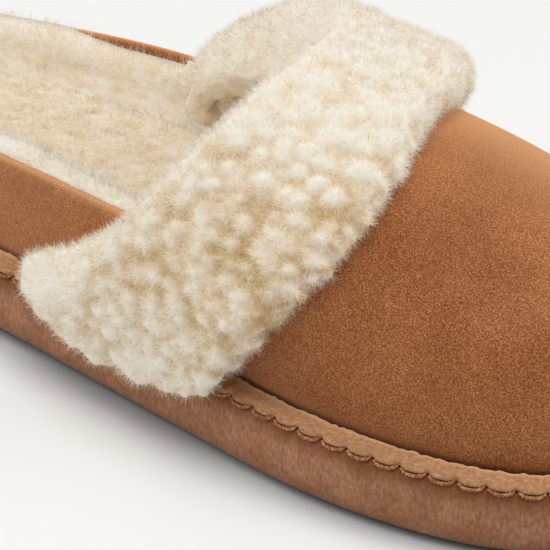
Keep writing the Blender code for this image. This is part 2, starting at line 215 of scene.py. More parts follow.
def join(*grids):
    """Points and quads of several grids of points, one after the other; points may carry values."""
    points = []
    quads = []
    start = 0
    for grid in grids:
        index = start + np.arange(grid.shape[0] * grid.shape[1]).reshape(grid.shape[:2])
        corners = [index[:-1, :-1], index[:-1, 1:], index[1:, 1:], index[1:, :-1]]
        quads.append(np.stack(corners, axis=-1).reshape(-1, 4))
        points.append(grid.reshape(-1, grid.shape[2]))
        start += index.size
    return np.concatenate(points), np.concatenate(quads)


def piece(name, material, points, faces, weld=True, **values):
    """One object at the origin: points in the foot's own frame, faces of one size, values per point."""
    mesh = bpy.data.meshes.new(name)
    mesh.vertices.add(len(points))
    mesh.vertices.foreach_set("co", (points - ORIGIN).astype(np.float32).ravel())
    mesh.loops.add(faces.size)
    mesh.loops.foreach_set("vertex_index", faces.astype(np.int32).ravel())
    mesh.polygons.add(len(faces))
    mesh.polygons.foreach_set("loop_start", np.arange(0, faces.size, faces.shape[1], dtype=np.int32))
    mesh.update(calc_edges=True)
    for key, value in values.items():
        attribute = mesh.attributes.new(key, "FLOAT", "POINT")
        attribute.data.foreach_set("value", np.asarray(value, np.float32).ravel())
    if weld:
        shape = bmesh.new()
        shape.from_mesh(mesh)
        bmesh.ops.remove_doubles(shape, verts=shape.verts, dist=WELD)
        bmesh.ops.recalc_face_normals(shape, faces=shape.faces)
        shape.to_mesh(mesh)
        shape.free()
    mesh.shade_smooth()
    mesh.materials.append(material)
    made = bpy.data.objects.new(name, mesh)
    bpy.context.collection.objects.link(made)
    return made


def colour(code):
    """Linear colour from an sRGB hex code."""
    parts = [int(code[i:i + 2], 16) / 255 for i in (1, 3, 5)]
    linear = [p / 12.92 if p <= 0.04045 else ((p + 0.055) / 1.055) ** 2.4 for p in parts]
    return (*linear, 1)


def plug(made, inputs):
    """Gives a node its inputs by name: another node's output is linked, a value is set on the socket."""
    for key, value in inputs.items():
        if isinstance(value, bpy.types.NodeSocket):
            made.id_data.links.new(value, made.inputs[key])
        else:
            made.inputs[key].default_value = value


def node(tree, kind, output, inputs=None, stops=(), **settings):
    """Adds one node and returns its named output: settings are its properties, inputs are values or
    other nodes' outputs by name, and stops are the places and hex colours of a ramp."""
    made = tree.nodes.new("ShaderNode" + kind)
    for key, value in settings.items():
        setattr(made, key, value)
    plug(made, inputs or {})
    for i, (place, code) in enumerate(stops):
        element = made.color_ramp.elements[i] if i < 2 else made.color_ramp.elements.new(place)
        element.position = place
        element.color = colour(code)
    return made.outputs[output]


def per_metre(size):
    """Scale of a pattern whose features repeat every so many metres."""
    return 1 / size


def new_material(name):
    """An empty material: returns it, its node tree, its Principled shader and the Object coordinates."""
    material = bpy.data.materials.new(name)
    material.use_nodes = True
    tree = material.node_tree
    return material, tree, tree.nodes["Principled BSDF"], node(tree, "TexCoord", "Object")


def brushed_suede_wrap():
    """Pinkish-brown suede brushed downwards: soft upright streaks, no gloss, a pale bloom at grazing.

    It has a painted shadow on the shoulder, just under the welt, and painted shade that darkens it towards
    the floor, where the wrap turns under.
    """
    material, tree, shader, place = new_material("brushed suede wrap")
    upright = node(tree, "Mapping", "Vector", {"Vector": place, "Scale": (1, 1, 0.45)})
    streak = node(tree, "TexNoise", "Fac", {
        "Vector": upright, "Scale": per_metre(0.7 * MM), "Detail": 3.0, "Roughness": 0.65})
    cloud = node(tree, "TexNoise", "Fac", {"Vector": place, "Scale": per_metre(9 * MM), "Detail": 3.0})
    mixed = node(tree, "Mix", "Result", {"Factor": 0.35, "A": streak, "B": cloud}, data_type="FLOAT")
    tone = node(tree, "ValToRGB", "Color", {"Fac": mixed},
                stops=((0.34, "#8b5a3f"), (0.50, "#a67253"), (0.66, "#bd8e70")))
    up = node(tree, "Attribute", "Fac", attribute_name="up")
    # Painted shadow: the shoulder just under the welt is darkened towards #7d4526.
    welt_shadow = node(tree, "MapRange", "Result", {
        "Value": up, "From Min": 0.66, "From Max": 0.97, "To Max": 0.75}, interpolation_type="SMOOTHSTEP")
    # Painted shade: the wrap is darkened towards #68452f low down, where it turns under towards the floor.
    painted_shade_low = node(tree, "MapRange", "Result", {
        "Value": up, "From Min": 0.5, "From Max": 0.0, "To Max": 0.4})
    for share, code in ((welt_shadow, "#7d4526"), (painted_shade_low, "#68452f")):
        tone = node(tree, "Mix", "Result", {
            "Factor": share, "A": tone, "B": colour(code)}, data_type="RGBA")
    grit = node(tree, "TexNoise", "Fac", {"Vector": place, "Scale": per_metre(0.5 * MM), "Detail": 2.0})
    relief = node(tree, "Math", "Value", {0: streak, 1: grit}, operation="ADD")
    bump = node(tree, "Bump", "Normal", {"Strength": 0.35, "Distance": 0.4 * MM, "Height": relief})
    plug(shader, {
        "Base Color": tone, "Normal": bump, "Roughness": 0.95, "Specular IOR Level": 0.15,
        "Sheen Weight": 0.18, "Sheen Roughness": 0.5, "Sheen Tint": colour("#e8c4ae")})
    return material


points, quads = join(sole_surface())
sole = piece("sole_wrap", brushed_suede_wrap(), points[:, :3], quads, up=points[:, 3])
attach(sole, "root")
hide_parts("sole")

# Welt
# A strip of rough-cut tan leather lies on the shoulder of the sole. Its outer edge is pulled into
# scallops by the stitches, and its cut inner edge frays a little against the foot of the upper.
GAP = 0.3 * MM
WELT_WIDTH = 4.6 * MM
WELT_RISE = 2.0 * MM
STITCHES = 98
STEPS_PER_STITCH = 16
FINER_STEPS = 8
SCALLOP = 1.1 * MM
SCALLOP_POWER = 6
STREAKS_INWARD = 6
FRAY = 0.16 * MM
FRAYS_PER_STITCH = 6
FRAY_SEED = 3

# Section of the strip from its lip inwards: shares of the width and of the rise, share of the scallop's
# pull that reaches each place, and share of the fraying
WELT_SECTION = np.array([
    # inward  up    pull  fray
    (0.10, 0.00, 1.0, 0.0),
    (0.00, 0.10, 1.0, 0.0),
    (0.00, 0.30, 1.0, 0.0),
    (0.05, 0.44, 0.8, 0.1),
    (0.20, 0.60, 0.3, 0.1),
    (0.45, 0.76, 0.0, 0.2),
    (0.68, 0.82, 0.0, 0.3),
    (0.82, 0.98, 0.0, 0.7),
    (0.94, 1.08, 0.0, 1.0),
    (1.00, 1.00, 0.0, 1.0),
    (1.00, 0.00, 0.0, 0.0),
])


def along_outline(steps):
    """Angles around the sole at even steps of its length, the first one again at the end."""
    fine = np.linspace(0, 2 * np.pi, FINER_STEPS * steps + 1)
    run = np.linalg.norm(np.diff(outline(fine), axis=0), axis=-1)
    length = np.concatenate([[0], np.cumsum(run)])
    return np.interp(np.linspace(0, length[-1], steps + 1), length, fine)


def welt_surface():
    """The strip's section carried around the outline; a power of |cos| over the stitches pulls its lip in.

    Returns its points and the count of stitches along it.
    """
    steps = STITCHES * STEPS_PER_STITCH
    u = along_outline(steps)[:, None]
    place = np.arange(steps + 1)[:, None] / STEPS_PER_STITCH
    pull = SCALLOP * np.abs(np.cos(np.pi * place)) ** SCALLOP_POWER
    generator = np.random.default_rng(FRAY_SEED)
    torn = generator.normal(0, FRAY, STITCHES * FRAYS_PER_STITCH)
    torn = np.interp(place * FRAYS_PER_STITCH, np.arange(len(torn) + 1), np.append(torn, torn[0]))
    fray = torn * WELT_SECTION[:, 3]
    inset = WELT_WIDTH * WELT_SECTION[:, 0] + pull * WELT_SECTION[:, 2]
    plan = outline(np.broadcast_to(u, inset.shape), inset)
    up = GAP + WELT_RISE * WELT_SECTION[:, 1] + fray
    z = sole_top(plan[..., 0]) + up
    points = np.concatenate([plan, z[..., None]], axis=-1)
    return np.concatenate([points, points[:, :1]], axis=1), place


def rough_cut_leather():
    """Undyed tan leather with its fibres showing: streaks along the strip, pale torn fibres at its edge.

    The streaks are counted in stitches of about 6 mm along the strip and in sixths of its width across.
    """
    material, tree, shader, place = new_material("rough-cut tan leather")
    along = node(tree, "Attribute", "Fac", attribute_name="along")
    inward = node(tree, "Attribute", "Fac", attribute_name="inward")
    strip = node(tree, "CombineXYZ", "Vector", {"X": along, "Y": inward})
    fibre = node(tree, "TexNoise", "Fac", {
        "Vector": strip, "Scale": 2.2, "Detail": 5.0, "Roughness": 0.7})
    grain = node(tree, "TexNoise", "Fac", {
        "Vector": place, "Scale": per_metre(0.9 * MM), "Detail": 3.0, "Roughness": 0.65})
    mixed = node(tree, "Mix", "Result", {"Factor": 0.5, "A": fibre, "B": grain}, data_type="FLOAT")
    tone = node(tree, "ValToRGB", "Color", {"Fac": mixed},
                stops=((0.32, "#8f6140"), (0.50, "#ae7f58"), (0.68, "#cda27b")))
    torn = node(tree, "MapRange", "Result", {
        "Value": inward, "From Min": 4.4, "From Max": 5.6, "To Max": 0.6}, interpolation_type="SMOOTHSTEP")
    edged = node(tree, "Mix", "Result", {
        "Factor": torn, "A": tone, "B": colour("#d9b48c")}, data_type="RGBA")
    bump = node(tree, "Bump", "Normal", {"Strength": 0.6, "Distance": 0.3 * MM, "Height": mixed})
    plug(shader, {"Base Color": edged, "Normal": bump, "Roughness": 0.85, "Specular IOR Level": 0.25})
    return material


strip, stitch_place = welt_surface()
fibres_along = np.broadcast_to(stitch_place, strip.shape[:2])
inward = np.append(WELT_SECTION[:, 0], WELT_SECTION[0, 0]) * STREAKS_INWARD
fibres_inward = np.broadcast_to(inward, strip.shape[:2])
welt = piece("welt_strip", rough_cut_leather(), *join(strip), along=fibres_along, inward=fibres_inward)
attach(welt, "root")
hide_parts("welt")

# Welt stitching
# A waxed two-ply thread runs along the lip of the strip, one arched stitch to each scallop, and dives
# into the wrap at each notch.
THREAD_RADIUS = 0.30 * MM
PLY_RADIUS = 0.25 * MM
STITCH_RINGS = 16
PLY_SIDES = 6
TWISTS = 3.5
STITCH_SHARE = 0.86
STITCH_OUT = 0.30 * MM
STITCH_DIVE = 1.3 * MM
STITCH_DROP = 0.25 * MM
STITCH_SAG = 0.35 * MM
DIVE_POWER = 6
PLY_OFFSET = 0.62


def stitch_surface():
    """Two tubes wound around an arched line per stitch: out and down by a cosine, diving in at its ends."""
    steps = STITCHES * STEPS_PER_STITCH
    turn = along_outline(steps)
    t = np.linspace(-0.5, 0.5, STITCH_RINGS + 1)
    place = np.arange(STITCHES)[:, None] + 0.5 + t * STITCH_SHARE
    u = np.interp(place * STEPS_PER_STITCH, np.arange(steps + 1), turn)
    arch = np.cos(np.pi * t)
    dive = (2 * np.abs(t)) ** DIVE_POWER
    inset = -STITCH_OUT * arch + STITCH_DIVE * dive
    plan = outline(u, np.broadcast_to(inset, u.shape))
    z = sole_top(plan[..., 0]) + STITCH_DROP - STITCH_SAG * arch
    line = np.concatenate([plan, z[..., None]], axis=-1)
    ahead = unit(np.gradient(line, axis=1))
    aside = unit(np.cross(ahead, (0, 0, 1)))
    above = np.cross(aside, ahead)
    grids = []
    around = np.linspace(0, 2 * np.pi, PLY_SIDES + 1)
    for ply in (0, np.pi):
        phase = (2 * np.pi * TWISTS * t + ply)[None, :, None]
        centre = line + (aside * np.cos(phase) + above * np.sin(phase)) * THREAD_RADIUS * PLY_OFFSET
        ring = aside[:, :, None] * np.cos(around)[:, None] + above[:, :, None] * np.sin(around)[:, None]
        grids.append(centre[:, :, None] + ring * PLY_RADIUS)
    return np.concatenate(grids)


def waxed_thread():
    """Orange-brown waxed thread: flecked where the wax lies uneven, with a dull shine."""
    material, tree, shader, place = new_material("waxed thread")
    fleck = node(tree, "TexNoise", "Fac", {"Vector": place, "Scale": per_metre(0.8 * MM), "Detail": 3.0})
    tone = node(tree, "ValToRGB", "Color", {"Fac": fleck},
                stops=((0.32, "#7d4a27"), (0.52, "#ab6f40"), (0.70, "#cf9a66")))
    bump = node(tree, "Bump", "Normal", {"Strength": 0.3, "Distance": 0.1 * MM, "Height": fleck})
    plug(shader, {"Base Color": tone, "Normal": bump, "Roughness": 0.6})
    return material


thread = piece("welt_stitches", waxed_thread(), *join(*stitch_surface()))
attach(thread, "root")

# Upper
# The upper is one hide, suede side out: a closed vamp over the toes that runs back into a low heel
# wall. It is lasted over the foot, and its lower edge is drawn in behind the welt.
WALL = 2.0 * MM
HEEL_WALL_BACK = 19.8 * MM
HEEL_WALL_SIDE = 24.6 * MM
HEEL_WALL_RISE_TO = 0.45
THROAT_LATERAL = 0.525
THROAT_MEDIAL = 0.390
THROAT_RIDGE = 0.598
THROAT_POWER = 1.6
SPINE_BACK = 0.20
SPINE_FRONT = 0.86
VAMP_COLUMNS = 220
HEEL_COLUMNS = 200
WALL_ROWS = 16
VAMP_ROWS = 64
TUCK = 0.9 * MM
TUCK_HEIGHT = 4.5 * MM
RIM_ROUND = 0.45 * MM
HIGHLIGHT_REACH = 0.8 * MM
EDGE_HIGHLIGHT = 0.7
TURNED_DOWN = -0.5
HALVINGS = 40

# The last over the foot: height of its ridge above the floor and its shift to the medial side, in mm
RIDGE = np.array([
    # station  height  sideways
    (0.00, 68.0, 0.0),
    (0.30, 69.0, 0.0),
    (0.45, 68.5, 0.0),
    (0.55, 67.0, 0.5),
    (0.65, 64.0, 1.5),
    (0.75, 59.0, 2.0),
    (0.85, 52.0, 2.0),
    (0.95, 42.0, 1.5),
    (1.00, 36.0, 1.0),
])

# Shape of the last's sections from the feather line up to the ridge, as shares: how far they stay
# upright, how far they stay level at the ridge, and how far they lean in at the foot
SECTION = np.array([
    # station  rise  crown  flare
    (0.00, 0.90, 0.85, 0.04),
    (0.30, 0.90, 0.85, 0.04),
    (0.45, 0.76, 0.70, 0.02),
    (0.60, 0.66, 0.60, 0.00),
    (0.75, 0.64, 0.58, 0.00),
    (0.90, 0.64, 0.60, 0.00),
    (1.00, 0.64, 0.60, 0.00),
])


def last(u, v, offset=0.0):
    """Surface of the last at angle u around the sole and share v up to the ridge, moved out by offset.

    A section runs from the feather line to the spine as a cubic Bezier: upright at the feather line
    (rise, leaning in by flare), level at the ridge (crown), scaled to the ridge height at its own x.
    Where all sections meet, at the toe's end of the ridge, a normal that comes out downwards is turned.
    """
    def point(u, v):
        foot = outline(u, WELT_WIDTH + 2 * GAP)
        station = station_of(u)
        spine = SPINE_BACK + (SPINE_FRONT - SPINE_BACK) * station
        rise = through(station, SECTION, 1)
        crown = through(station, SECTION, 2)
        flare = through(station, SECTION, 3)
        a = 3 * v * (1 - v) ** 2
        b = 3 * v ** 2 * (1 - v)
        inward = a * flare + b * (1 - crown) + v ** 3
        upward = a * rise + b + v ** 3
        x = foot[..., 0] + (spine * LENGTH - foot[..., 0]) * inward
        middle = through(spine, RIDGE, 2) * MM
        y = foot[..., 1] + (middle - foot[..., 1]) * inward
        base = sole_top(foot[..., 0]) + GAP
        z = base + (through(x / LENGTH, RIDGE, 1) * MM - base) * upward
        return np.stack([x, y, z], axis=-1)

    u, v = np.broadcast_arrays(np.asarray(u, float), np.asarray(v, float))
    inside = np.minimum(v, 1 - 2 * SMALL)
    across = point(u, inside + SMALL) - point(u, inside)
    along = point(u + SMALL, inside) - point(u - SMALL, inside)
    normal = unit(np.cross(along, across))
    normal *= np.where(normal[..., 2:] < TURNED_DOWN, -1, 1)
    return point(u, v) + normal * np.asarray(offset)[..., None]


def share_at_height(u, height, offset=0.0):
    """Share v at which the last, moved out by offset, stands at the given height; by halving."""
    low = np.zeros_like(u)
    high = np.ones_like(u)
    for _ in range(HALVINGS):
        middle = (low + high) / 2
        below = last(u, middle, offset)[..., 2] < height
        low = np.where(below, middle, low)
        high = np.where(below, high, middle)
    return (low + high) / 2


def wall_top(u):
    """Height of the heel wall's top edge above the floor, a little lower at the back."""
    station = station_of(u)
    rise = smoothstep(0, HEEL_WALL_RISE_TO, station)
    return sole_top(station * LENGTH) + HEEL_WALL_BACK + (HEEL_WALL_SIDE - HEEL_WALL_BACK) * rise


def throat(share, corner):
    """Station of the throat edge at a share of its way from the heel wall's top to the ridge."""
    return corner + (THROAT_RIDGE - corner) * (1 - (1 - share) ** THROAT_POWER)


def upper_grid(wall_rows, vamp_rows):
    """Angles and shares of the wall, all round from its foot to its top, and of the vamp above it."""
    toward_toe = np.linspace(0, 1, VAMP_COLUMNS // 2 + 1)
    rows = np.linspace(0, 1, vamp_rows + 1)[:, None]
    lateral = angle_of(throat(rows, THROAT_LATERAL))
    medial = angle_of(throat(rows, THROAT_MEDIAL))
    lateral = lateral + (np.pi - lateral) * toward_toe
    medial = 2 * np.pi - medial - (np.pi - medial) * toward_toe
    vamp_u = np.hstack([lateral, medial[:, -2::-1]])
    heel_u = np.linspace(vamp_u[0, -1], 2 * np.pi + vamp_u[0, 0], HEEL_COLUMNS + 1)[1:]
    around = np.concatenate([vamp_u[0], heel_u])
    top = share_at_height(around, wall_top(around))
    wall_v = np.linspace(0, 1, wall_rows + 1)[:, None] * top
    vamp_v = top[:vamp_u.shape[1]] + (1 - top[:vamp_u.shape[1]]) * rows
    return np.broadcast_to(around, wall_v.shape), wall_v, vamp_u, vamp_v


def throat_loop(wall, vamp):
    """The free edge of a wall and its vamp: back along the heel wall, then up and over the throat."""
    heel = wall[-1, vamp.shape[1] - 1:]
    return np.concatenate([heel, vamp[1:, 0], vamp[-2::-1, -1]])


def upper_surface():
    """Outer and inner wall of the hide, joined along the foot and by a rounded rim along the throat.

    Points outside on the heel wall carry a painted highlight along its cut edge, fading as an exponential of
    the way down.
    """
    wall_u, wall_v, vamp_u, vamp_v = upper_grid(WALL_ROWS, VAMP_ROWS)
    height = last(wall_u, wall_v)[..., 2] - sole_top(last(wall_u, wall_v)[..., 0])
    tuck = TUCK * (1 - smoothstep(0, TUCK_HEIGHT, height))
    sheets = []
    edges = []
    for depth in (0.0, WALL):
        wall = last(wall_u, wall_v, -depth - tuck)
        wall[0, :, 2] = sole_top(wall[0, :, 0]) + GAP
        vamp = last(vamp_u, vamp_v, -depth)
        # Painted highlight along the heel wall's cut edge, strongest at its top.
        painted_highlight = EDGE_HIGHLIGHT * np.exp((wall[..., 2] - wall[-1, :, 2]) / HIGHLIGHT_REACH) * (depth == 0)
        painted_highlight[:, :vamp.shape[1]] = 0
        sheets += [np.dstack([wall, painted_highlight]), np.dstack([vamp, np.zeros(vamp.shape[:2])])]
        edges.append(throat_loop(*sheets[-2:]))
    foot = np.stack([sheets[0][0], sheets[2][0]])
    crest = (edges[0] + edges[1]) / 2
    crest[:, 2] += RIM_ROUND
    rim = np.stack([edges[0], (edges[0] + crest) / 2, crest, (edges[1] + crest) / 2, edges[1]])
    rim[1::2, :, 2] += RIM_ROUND / 2
    return [*sheets, foot, rim]


def chestnut_suede():
    """Chestnut suede: a fine even nap that speckles the colour, no gloss, pale sheen at grazing angles.

    It has painted shade low down, where the hide is drawn in behind the welt, and a painted highlight along
    its cut edge. The nap is drawn about three times as coarse as it is, so that it shows.
    """
    material, tree, shader, place = new_material("chestnut suede")
    nap = node(tree, "TexNoise", "Fac", {
        "Vector": place, "Scale": per_metre(0.32 * MM), "Detail": 1.5, "Roughness": 0.6})
    cloud = node(tree, "TexNoise", "Fac", {
        "Vector": place, "Scale": per_metre(28 * MM), "Detail": 3.0, "Roughness": 0.55})
    mixed = node(tree, "Mix", "Result", {"Factor": 0.25, "A": nap, "B": cloud}, data_type="FLOAT")
    tone = node(tree, "ValToRGB", "Color", {"Fac": mixed},
                stops=((0.34, "#703d1c"), (0.50, "#9f6138"), (0.66, "#cb9062")))
    # Painted shade: the suede is darkened towards #613216 low down, near the welt.
    height = node(tree, "SeparateXYZ", "Z", {"Vector": place})
    foot = node(tree, "MapRange", "Result", {
        "Value": height, "From Min": 36 * MM, "From Max": 16 * MM, "To Max": 0.3})
    # Painted highlight: the suede is lightened towards #e2a673 along the heel wall's cut edge.
    edge = node(tree, "Attribute", "Fac", attribute_name="edge")
    facing = node(tree, "LayerWeight", "Facing", {"Blend": 0.5})
    sheen = node(tree, "MapRange", "Result", {
        "Value": facing, "From Min": 0.2, "From Max": 1.0, "To Max": 0.9}, interpolation_type="SMOOTHSTEP")
    for share, code in ((foot, "#613216"), (edge, "#e2a673"), (sheen, "#e0a678")):
        tone = node(tree, "Mix", "Result", {
            "Factor": share, "A": tone, "B": colour(code)}, data_type="RGBA")
    bump = node(tree, "Bump", "Normal", {"Strength": 0.5, "Distance": 0.25 * MM, "Height": nap})
    plug(shader, {
        "Base Color": tone, "Normal": bump, "Roughness": 0.95, "Specular IOR Level": 0.15,
        "Sheen Weight": 0.4, "Sheen Roughness": 0.4, "Sheen Tint": colour("#ffbe90")})
    return material


points, quads = join(*upper_surface())
upper = piece("upper_suede", chestnut_suede(), points[:, :3], quads, edge=points[:, 3])
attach(upper, "root")
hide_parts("upper")

# Footbed
# A shearling insole lies on the sole and fills the foot of the upper. Its pile is trodden into short
# soft tufts, with loose fibres standing out of them.
FOOTBED_HEEL = 12.5 * MM
FOOTBED_TOE = 10.0 * MM
FOOTBED_THIN_FROM, FOOTBED_THIN_TO = 0.30, 0.90
FOOTBED_SECTIONS = 280
FOOTBED_BARS = 96
FOOTBED_SIDE_STEPS = 4
FOOTBED_UNDER_BARS = 4
FOOTBED_SINK = 1.2 * MM
TUFT, SMALL_TUFT = 5.5 * MM, 2.4 * MM
TUFT_SEED, SMALL_TUFT_SEED = 11, 12
TUFT_HEIGHT = 1.8 * MM
TUFT_PALE = 0.35
BED_PILE = 0.20
WOOL_SOFT, HAIR_SOFT = 0.8, 0
FOOTBED_FIBRES = 23000
FOOTBED_FIBRE = 4.0 * MM
FOOTBED_FIBRE_SEED = 21
FOOTBED_UPRIGHT, FOOTBED_TANGLE, FOOTBED_COMBED = 0.6, 0.8, (0.4, 0, 0)
OPEN_TO = 0.62 * LENGTH
FIBRE_RADIUS = 0.045 * MM
FIBRE_LENGTHS = (0.4, 1.0)
FIBRE_SHADES = 0.38
FIBRE_ROOT, FIBRE_TIP = -0.1, 0.15
FIBRE_FADE = np.array([FIBRE_ROOT, FIBRE_ROOT, FIBRE_ROOT, FIBRE_TIP])
FIBRE_LIFT = (0, 0, 0.6)
TUFT_TABLE = (64, 64, 64)
TUFT_SPREAD = (0.55, 0.85)
TUFT_JITTER = (0.1, 0.9)
NEAR_CELLS = np.stack(np.meshgrid(*[(-1, 0, 1)] * 3), axis=-1).reshape(-1, 3)


def footbed_top(x):
    """Height of the fleece footbed, a little thinner towards the toe."""
    thin = smoothstep(FOOTBED_THIN_FROM, FOOTBED_THIN_TO, x / LENGTH)
    return sole_top(x) + FOOTBED_HEEL + (FOOTBED_TOE - FOOTBED_HEEL) * thin


def footbed_surface():
    """Loops around the sections of the footbed: up the lateral wall, over, down the medial wall, back."""
    u = np.linspace(0, np.pi, FOOTBED_SECTIONS + 1)
    inside = -WALL - GAP - TUCK
    sides = []
    for turn in (u, -u):
        foot = last(turn, np.zeros_like(turn), inside)
        top = share_at_height(turn, footbed_top(foot[:, 0]) - FOOTBED_SINK, inside)
        side = last(turn[:, None], top[:, None] * np.linspace(0, 1, FOOTBED_SIDE_STEPS + 1), inside)
        side[:, 0, 2] = sole_top(side[:, 0, 0]) + GAP
        sides.append(side)
    lateral, medial = sides
    over = across_foot(lateral[:, -1], medial[:, -1], FOOTBED_BARS)
    over[..., 2] = footbed_top(over[..., 0]) - FOOTBED_SINK
    under = across_foot(medial[:, 0], lateral[:, 0], FOOTBED_UNDER_BARS)
    return np.concatenate([lateral, over, medial[:, ::-1], under, lateral[:, :1]], axis=1)


def tufts(points, pitch, seed):
    """Height field of round tufts of unlike width, around the jittered nodes of a lattice in space.

    A tuft is a bell over its distance. The fourth root of the sum of their fourth powers rounds the
    furrow where tufts meet. Returns the height, from 0 to about 1, and the number of the nearest tuft.
    """
    generator = np.random.default_rng(seed)
    jitter = generator.uniform(*TUFT_JITTER, (*TUFT_TABLE, 3))
    spread = generator.uniform(*TUFT_SPREAD, TUFT_TABLE)
    place = points / pitch
    near = np.floor(place).astype(int)[:, None] + NEAR_CELLS
    cell = tuple(np.moveaxis(near % TUFT_TABLE, -1, 0))
    distance = np.linalg.norm(near + jitter[cell] - place[:, None], axis=-1)
    height = np.exp(-(distance / spread[cell]) ** 2)
    number = np.ravel_multi_index(cell, TUFT_TABLE)
    nearest = np.take_along_axis(number, height.argmax(axis=1)[:, None], axis=1)
    return (height ** 4).sum(axis=1) ** 0.25, nearest[:, 0]


def short_pile(points):
    """Relief of the short fleece: the mean of large and small tufts."""
    return 0.5 * (tufts(points, TUFT, TUFT_SEED)[0] + tufts(points, SMALL_TUFT, SMALL_TUFT_SEED)[0])


def mesh_arrays(made):
    """Points in the foot's own frame, point normals and triangles of a piece, as arrays."""
    mesh = made.data
    points = np.empty(len(mesh.vertices) * 3)
    mesh.vertices.foreach_get("co", points)
    normals = np.empty(len(mesh.vertices) * 3)
    mesh.vertex_normals.foreach_get("vector", normals)
    mesh.calc_loop_triangles()
    corners = np.empty(len(mesh.loop_triangles) * 3, int)
    mesh.loop_triangles.foreach_get("vertices", corners)
    return points.reshape(-1, 3) + ORIGIN, normals.reshape(-1, 3), corners.reshape(-1, 3)


def push_out(made, lift, pile):
    """Moves every point of a piece along its normal by lift, and keeps pile, 0 in troughs, 1 on tips."""
    points, normals, _ = mesh_arrays(made)
    moved = points - ORIGIN + normals * lift[:, None]
    made.data.vertices.foreach_set("co", moved.astype(np.float32).ravel())
    attribute = made.data.attributes.new("pile", "FLOAT", "POINT")
    attribute.data.foreach_set("value", pile.astype(np.float32))
    made.data.update()


def scatter(made, count, where, seed):
    """Random roots on a piece, even over its area times where.

    Returns points, normals, a function that reads values per point of the piece at the roots, the
    nearest point of the piece to each root, and the random generator.
    """
    points, normals, corners = mesh_arrays(made)
    generator = np.random.default_rng(seed)
    edge_a = points[corners[:, 1]] - points[corners[:, 0]]
    edge_b = points[corners[:, 2]] - points[corners[:, 0]]
    weight = np.linalg.norm(np.cross(edge_a, edge_b), axis=-1) * where[corners].mean(axis=1)
    picked = corners[generator.choice(len(corners), count, p=weight / weight.sum())]
    share = generator.dirichlet((1, 1, 1), count)

    def read(values):
        return np.einsum("ij,ij...->i...", share, values[picked])

    nearest = np.take_along_axis(picked, share.argmax(axis=1)[:, None], axis=1)[:, 0]
    return read(points), unit(read(normals)), read, nearest, generator


def ring_around(ways, radius, generator):
    """Three points around the origin, square to each way, turned at random."""
    aside = unit(np.cross(ways, generator.normal(size=ways.shape)))
    other = np.cross(ways, aside)
    turn = 2 * np.pi * np.arange(3)[:, None] / 3
    return (aside[:, None] * np.cos(turn) + other[:, None] * np.sin(turn)) * radius


def fibres(name, wool, roots, normals, ways, longest, pile, generator):
    """Straight fibres as closed three-sided spikes: a small triangle at the root and a point at the tip.

    They are about three times as thick as real wool, so that they show. They shade like the fleece that
    they grow on, seen a little from above, and cast no shadow on it.
    """
    base = roots[:, None] + ring_around(ways, FIBRE_RADIUS, generator)
    tip = roots + ways * longest * generator.uniform(*FIBRE_LENGTHS, (len(roots), 1))
    pile = pile + generator.normal(0, FIBRE_SHADES, len(roots))
    points = np.concatenate([base, tip[:, None]], axis=1).reshape(-1, 3)
    faces = np.array([(0, 2, 1), (0, 1, 3), (1, 2, 3), (2, 0, 3)])
    faces = (4 * np.arange(len(roots))[:, None, None] + faces).reshape(-1, 3)
    made = piece(name, wool, points, faces, weld=False, pile=pile[:, None] + FIBRE_FADE)
    made.data.normals_split_custom_set_from_vertices(np.repeat(unit(normals + FIBRE_LIFT), 4, axis=0))
    made.visible_shadow = False
    made.visible_diffuse = False
    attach(made, "root")
    return made


def fleece(name, soft, trough, middle, tip):
    """Sheep's wool: matt and creamy, white at the tips, yellow deep in the pile; soft lets light through."""
    material, tree, shader, place = new_material(name)
    pile = node(tree, "Attribute", "Fac", attribute_name="pile")
    patch = node(tree, "TexNoise", "Fac", {
        "Vector": place, "Scale": per_metre(9 * MM), "Detail": 3.0, "Roughness": 0.6})
    crimp = node(tree, "TexNoise", "Fac", {
        "Vector": place, "Scale": per_metre(0.8 * MM), "Detail": 4.0, "Roughness": 0.75, "Distortion": 1.0})
    for noise, share in ((patch, 0.5), (crimp, 0.7)):
        shift = node(tree, "Math", "Value", {0: noise, 1: 0.5}, operation="SUBTRACT")
        pile = node(tree, "Math", "Value", {0: shift, 1: share, 2: pile}, operation="MULTIPLY_ADD")
    tone = node(tree, "ValToRGB", "Color", {"Fac": pile},
                stops=((0.05, trough), (0.45, middle), (0.90, tip)))
    bump = node(tree, "Bump", "Normal", {"Strength": soft, "Distance": 0.6 * MM, "Height": crimp})
    plug(shader, {
        "Base Color": tone, "Normal": bump, "Roughness": 1.0, "Specular IOR Level": 0.1,
        "Subsurface Weight": soft, "Subsurface Radius": (1.0, 0.95, 0.9), "Subsurface Scale": 1.3 * MM})
    return material


inside_tones = ("#d0b082", "#ebd9bc", "#fbf3e8")
inside_wool = fleece("short fleece", WOOL_SOFT, *inside_tones)
inside_hair = fleece("loose fibres of the short fleece", HAIR_SOFT, *inside_tones)
footbed = piece("footbed", inside_wool, *join(footbed_surface()))
bed_points, bed_normals, _ = mesh_arrays(footbed)
bed_up = np.clip(bed_normals[:, 2], 0, 1) ** 2
bed_height = short_pile(bed_points)
bed_pile = BED_PILE + TUFT_PALE * bed_height
push_out(footbed, TUFT_HEIGHT * bed_height * bed_up, bed_pile)
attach(footbed, "root")
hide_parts("insole")

open_part = bed_up * (bed_points[:, 0] < OPEN_TO)
roots, normals, read, _, generator = scatter(footbed, FOOTBED_FIBRES, open_part, FOOTBED_FIBRE_SEED)
tangle = generator.normal(0, FOOTBED_TANGLE, normals.shape)
ways = unit(FOOTBED_UPRIGHT * normals + tangle + FOOTBED_COMBED)
footbed_fibres = fibres("footbed_fibres", inside_hair, roots, normals, ways, FOOTBED_FIBRE,
                        read(bed_pile), generator)

